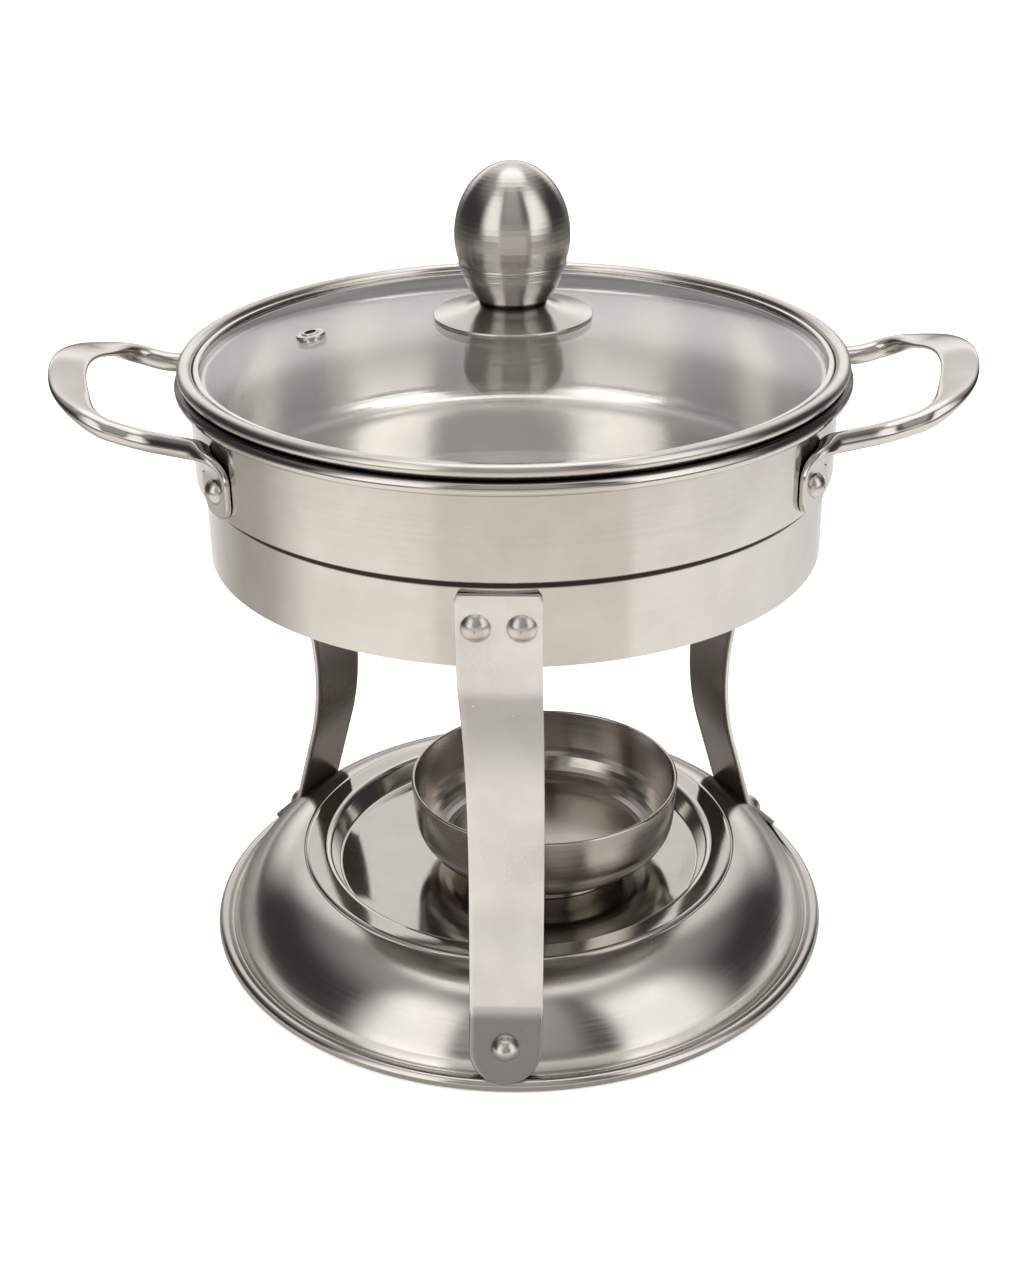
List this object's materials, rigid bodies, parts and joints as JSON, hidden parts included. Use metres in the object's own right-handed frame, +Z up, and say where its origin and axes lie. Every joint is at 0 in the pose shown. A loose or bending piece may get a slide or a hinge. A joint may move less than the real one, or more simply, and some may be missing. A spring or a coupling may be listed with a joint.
{
  "type": "chafing dish",
  "caption": "Round chafing dish: water pan with loop handles on a riveted strap-legged stand over a fuel bowl, food pan inside, domed glass lid with an egg-shaped knob.",
  "frame": {"origin": "centre of the base on the table, on the axis of base, ring, pans and lid", "axes": "+Z up along that axis; -Y toward the viewer, at the side of the front leg; the two handles point along -X and +X"},
  "size_m": [0.3044, 0.2253, 0.2788],
  "materials": {
    "polished_sheet": "polished",
    "strap_steel": "satin",
    "rivet_steel": "polished",
    "pan_steel": "polished",
    "bowl_steel": "dark polished",
    "rod_steel": "polished, forged",
    "knob_steel": "fine brushed",
    "clear_glass": "clear tempered",
    "gasket": "matt"
  },
  "bodies": {
    "stand": {"base_tray": "polished_sheet", "front_leg": "strap_steel", "left_leg": "strap_steel", "right_leg": "strap_steel", "stand_ring": "polished_sheet", "front_leg_rivets": "rivet_steel", "left_leg_rivets": "rivet_steel", "right_leg_rivets": "rivet_steel"},
    "bowl": {"burner_bowl": "bowl_steel"},
    "water_bath": {"water_pan": "pan_steel", "left_handle": "rod_steel", "right_handle": "rod_steel", "left_handle_rivets": "rivet_steel", "right_handle_rivets": "rivet_steel"},
    "food_insert": {"food_pan": "pan_steel"},
    "lid": {"lid_glass": "clear_glass", "lid_band": "polished_sheet", "steam_vent": "rivet_steel", "knob_collar": "knob_steel", "knob_lower_shell": "knob_steel", "knob_upper_shell": "knob_steel", "knob_insert": "strap_steel", "knob_screw": "strap_steel", "knob_washer": "strap_steel", "knob_gasket": "gasket"}
  },
  "joints": [
    {"name": "water_pan_lift", "type": "slide", "parent": "stand", "child": "water_bath", "axis": [0, 0, 1], "range_m": [0, 0.12]},
    {"name": "food_pan_lift", "type": "slide", "parent": "water_bath", "child": "food_insert", "axis": [0, 0, 1], "range_m": [0, 0.12]},
    {"name": "lid_lift", "type": "slide", "parent": "food_insert", "child": "lid", "axis": [0, 0, 1], "range_m": [0, 0.1]},
    {"name": "bowl_slide", "type": "slide", "parent": "stand", "child": "bowl", "axis": [0, 0.9659, 0.2588], "range_m": [0, 0.18]}
  ]
}
